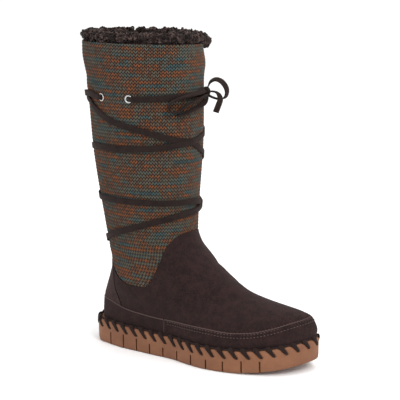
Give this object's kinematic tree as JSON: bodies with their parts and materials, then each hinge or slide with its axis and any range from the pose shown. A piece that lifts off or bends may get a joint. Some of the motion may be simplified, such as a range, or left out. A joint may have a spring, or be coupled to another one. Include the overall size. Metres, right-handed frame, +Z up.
{
  "type": "mukluk boot",
  "caption": "Tall knitted mukluk boot for a right foot, with a suede foot, a flat lace wound round the shaft and tied in a bow, a fleece collar and a thick gum sole.",
  "frame": {"origin": "on the floor under the middle of the boot's box, without the bow", "axes": "+X to the toe, +Y to the inner side of the foot, +Z up"},
  "size_m": [0.2836, 0.1184, 0.3524],
  "materials": {
    "gum_sole": "matt moulded tan gum rubber",
    "footbed": "short fleece",
    "knit": "knitted marl yarn in rust, teal and olive grey",
    "suede": "brushed dark brown suede",
    "cord": "waxed dark brown cord",
    "sherpa": "curled taupe fleece",
    "eyelet_metal": "plated silver",
    "suede_lace": "flat dark brown suede lace"
  },
  "bodies": {
    "root": {"outsole": "gum_sole", "insole": "footbed", "upper": "knit", "vamp": "suede", "heel_counter": "suede", "band_rear": "suede", "band_front": "suede", "whipstitch": "cord", "fur_collar": "sherpa", "eyelet_lateral_rear": "eyelet_metal", "eyelet_lateral_front": "eyelet_metal", "eyelet_medial_front": "eyelet_metal", "eyelet_medial_rear": "eyelet_metal", "lace_wraps": "suede_lace", "lace_bar_lateral": "suede_lace", "lace_bar_medial": "suede_lace", "lace_knot": "suede_lace", "lace_loop_front": "suede_lace", "lace_end_front": "suede_lace", "lace_loop_side": "suede_lace", "lace_end_side": "suede_lace"}
  },
  "joints": []
}
